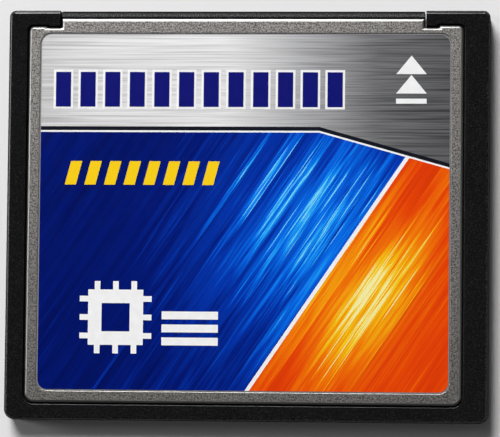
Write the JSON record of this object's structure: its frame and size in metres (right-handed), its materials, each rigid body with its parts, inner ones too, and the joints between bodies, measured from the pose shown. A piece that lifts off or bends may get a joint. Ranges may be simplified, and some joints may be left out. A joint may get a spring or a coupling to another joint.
{
  "type": "flash memory card",
  "caption": "Thin rectangular flash memory card: black moulded frame with keyed side grooves, pressed steel covers, a socket connector along one edge and a colourful plain label.",
  "frame": {"origin": "centre of the card's bounding box, on its bottom face", "axes": "+X across the card, +Y to the connector end, +Z to the label side"},
  "size_m": [0.0428, 0.0364, 0.0033],
  "materials": {
    "frame_plastic": "fine matt texture, moulded black",
    "cover_steel": "matt grained stainless steel",
    "connector_plastic": "smooth black moulding",
    "contact_metal": "gold plated",
    "board_laminate": "green solder mask",
    "chip_plastic": "moulded black epoxy",
    "lead_metal": "tin plated",
    "crystal_ceramic": "fired ceramic",
    "crystal_metal": "plated lid",
    "capacitor_ceramic": "fired ceramic",
    "resistor_ceramic": "black coated ceramic",
    "label_film": "white polyester film",
    "print_silver": "brushed metallic ink",
    "print_black": "satin print",
    "print_navy": "satin print",
    "print_azure": "satin print",
    "print_red": "satin print",
    "print_orange": "satin print",
    "print_yellow": "satin print",
    "print_white": "satin print",
    "print_blue": "satin print"
  },
  "bodies": {
    "root": {"frame": "frame_plastic", "front_cover": "cover_steel", "rear_cover": "cover_steel", "connector_housing": "connector_plastic", "upper_contacts": "contact_metal", "lower_contacts": "contact_metal", "circuit_board": "board_laminate", "flash_chip_left": "chip_plastic", "flash_chip_right": "chip_plastic", "flash_leads_left": "lead_metal", "flash_leads_right": "lead_metal", "controller_chip": "chip_plastic", "controller_leads": "lead_metal", "voltage_regulator": "chip_plastic", "regulator_leads": "lead_metal", "crystal_base": "crystal_ceramic", "crystal_lid": "crystal_metal", "capacitors": "capacitor_ceramic", "capacitor_caps": "lead_metal", "resistors": "resistor_ceramic", "resistor_caps": "lead_metal", "label_film": "label_film", "label_silver": "print_silver", "label_black": "print_black", "label_navy": "print_navy", "label_azure": "print_azure", "label_red": "print_red", "label_orange": "print_orange", "label_yellow": "print_yellow", "label_white": "print_white", "label_blue": "print_blue"}
  },
  "joints": []
}
